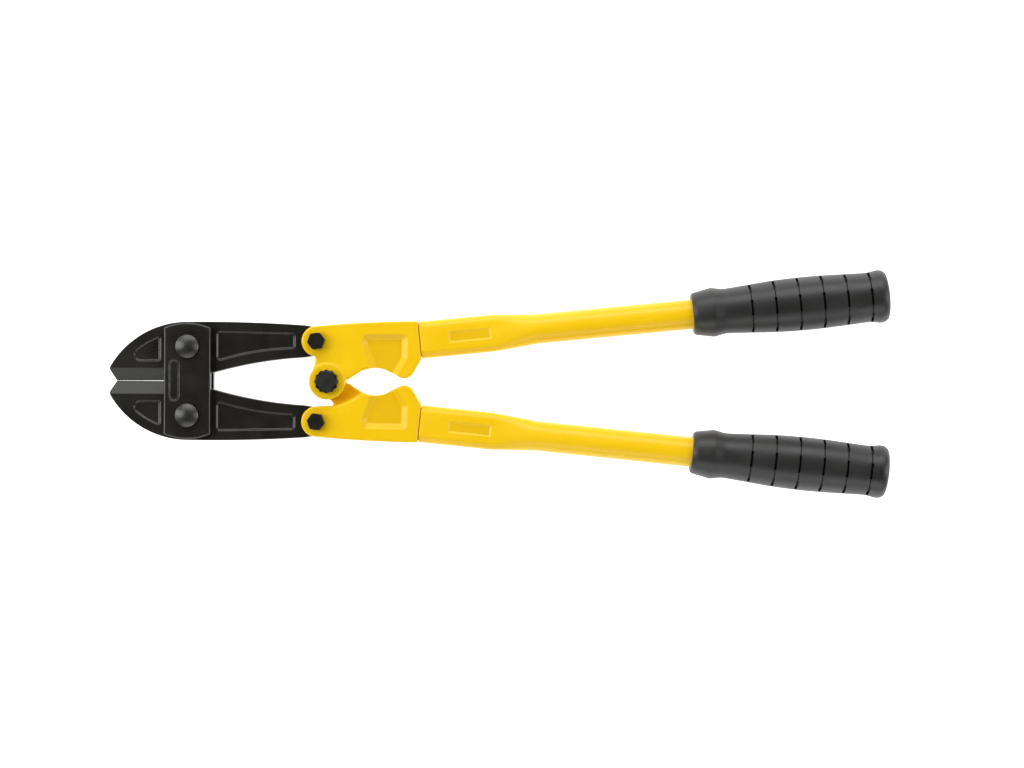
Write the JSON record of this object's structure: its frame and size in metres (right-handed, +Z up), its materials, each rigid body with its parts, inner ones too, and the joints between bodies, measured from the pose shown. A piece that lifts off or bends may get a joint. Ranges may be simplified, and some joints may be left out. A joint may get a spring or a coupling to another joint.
{
  "type": "bolt cutters",
  "caption": "Compound-action bolt cutters: black jaws between side plates, yellow forged heads and tubular handles, black moulded grips.",
  "frame": {"origin": "middle of the tool's outline, on the surface that the tool lies on", "axes": "+X from the jaws to the grips, +Y towards the upper handle, +Z up from the surface, parallel to every pivot"},
  "size_m": [0.4494, 0.1318, 0.031],
  "materials": {
    "black_steel": "black oxide forged steel, satin",
    "blued_steel": "dark blued turned steel",
    "black_bolt": "black oxide bolt steel",
    "yellow_paint": "glossy yellow powder coat on steel",
    "grip_rubber": "black moulded rubber, satin"
  },
  "bodies": {
    "side_plates": {"front_side_plate": "black_steel", "rear_side_plate": "black_steel", "upper_jaw_bolt": "blued_steel", "upper_jaw_bolt_washer": "blued_steel", "upper_jaw_bolt_nut": "blued_steel", "lower_jaw_bolt": "blued_steel", "lower_jaw_bolt_washer": "blued_steel", "lower_jaw_bolt_nut": "blued_steel"},
    "upper_jaw": {"upper_jaw": "black_steel"},
    "lower_jaw": {"lower_jaw": "black_steel"},
    "upper_handle": {"upper_handle_head": "yellow_paint", "upper_handle_tube": "yellow_paint", "upper_grip": "grip_rubber", "upper_link_bolt": "black_bolt", "upper_link_bolt_washer": "black_bolt", "upper_link_bolt_nut": "black_bolt", "centre_bolt": "black_bolt", "centre_bolt_washer": "black_bolt", "centre_bolt_nut": "black_bolt"},
    "lower_handle": {"lower_handle_head": "yellow_paint", "lower_handle_tube": "yellow_paint", "lower_grip": "grip_rubber", "lower_link_bolt": "black_bolt", "lower_link_bolt_washer": "black_bolt", "lower_link_bolt_nut": "black_bolt"}
  },
  "joints": [
    {"name": "upper_handle_pivot", "type": "hinge", "parent": "upper_jaw", "child": "upper_handle", "pos_m": [-0.105, 0.0231, 0.0155], "axis": [0, 0, 1], "range_deg": [0, 53.53]},
    {"name": "lower_handle_pivot", "type": "hinge", "parent": "lower_jaw", "child": "lower_handle", "pos_m": [-0.105, -0.0231, 0.0155], "axis": [0, 0, 1], "range_deg": [-53.54, 0]},
    {"name": "upper_jaw_pivot", "type": "hinge", "parent": "side_plates", "child": "upper_jaw", "pos_m": [-0.179, 0.01975, 0.0155], "axis": [0, 0, 1], "range_deg": [-8.54, 0]},
    {"name": "lower_jaw_pivot", "type": "hinge", "parent": "side_plates", "child": "lower_jaw", "pos_m": [-0.179, -0.01975, 0.0155], "axis": [0, 0, 1], "range_deg": [0, 8.54]}
  ],
  "couplings": [
    {"joint": "lower_handle_pivot", "follows": "upper_handle_pivot", "ratio": -1},
    {"joint": "upper_jaw_pivot", "follows": "upper_handle_pivot", "ratio": -0.15929},
    {"joint": "lower_jaw_pivot", "follows": "upper_handle_pivot", "ratio": 0.15929}
  ]
}
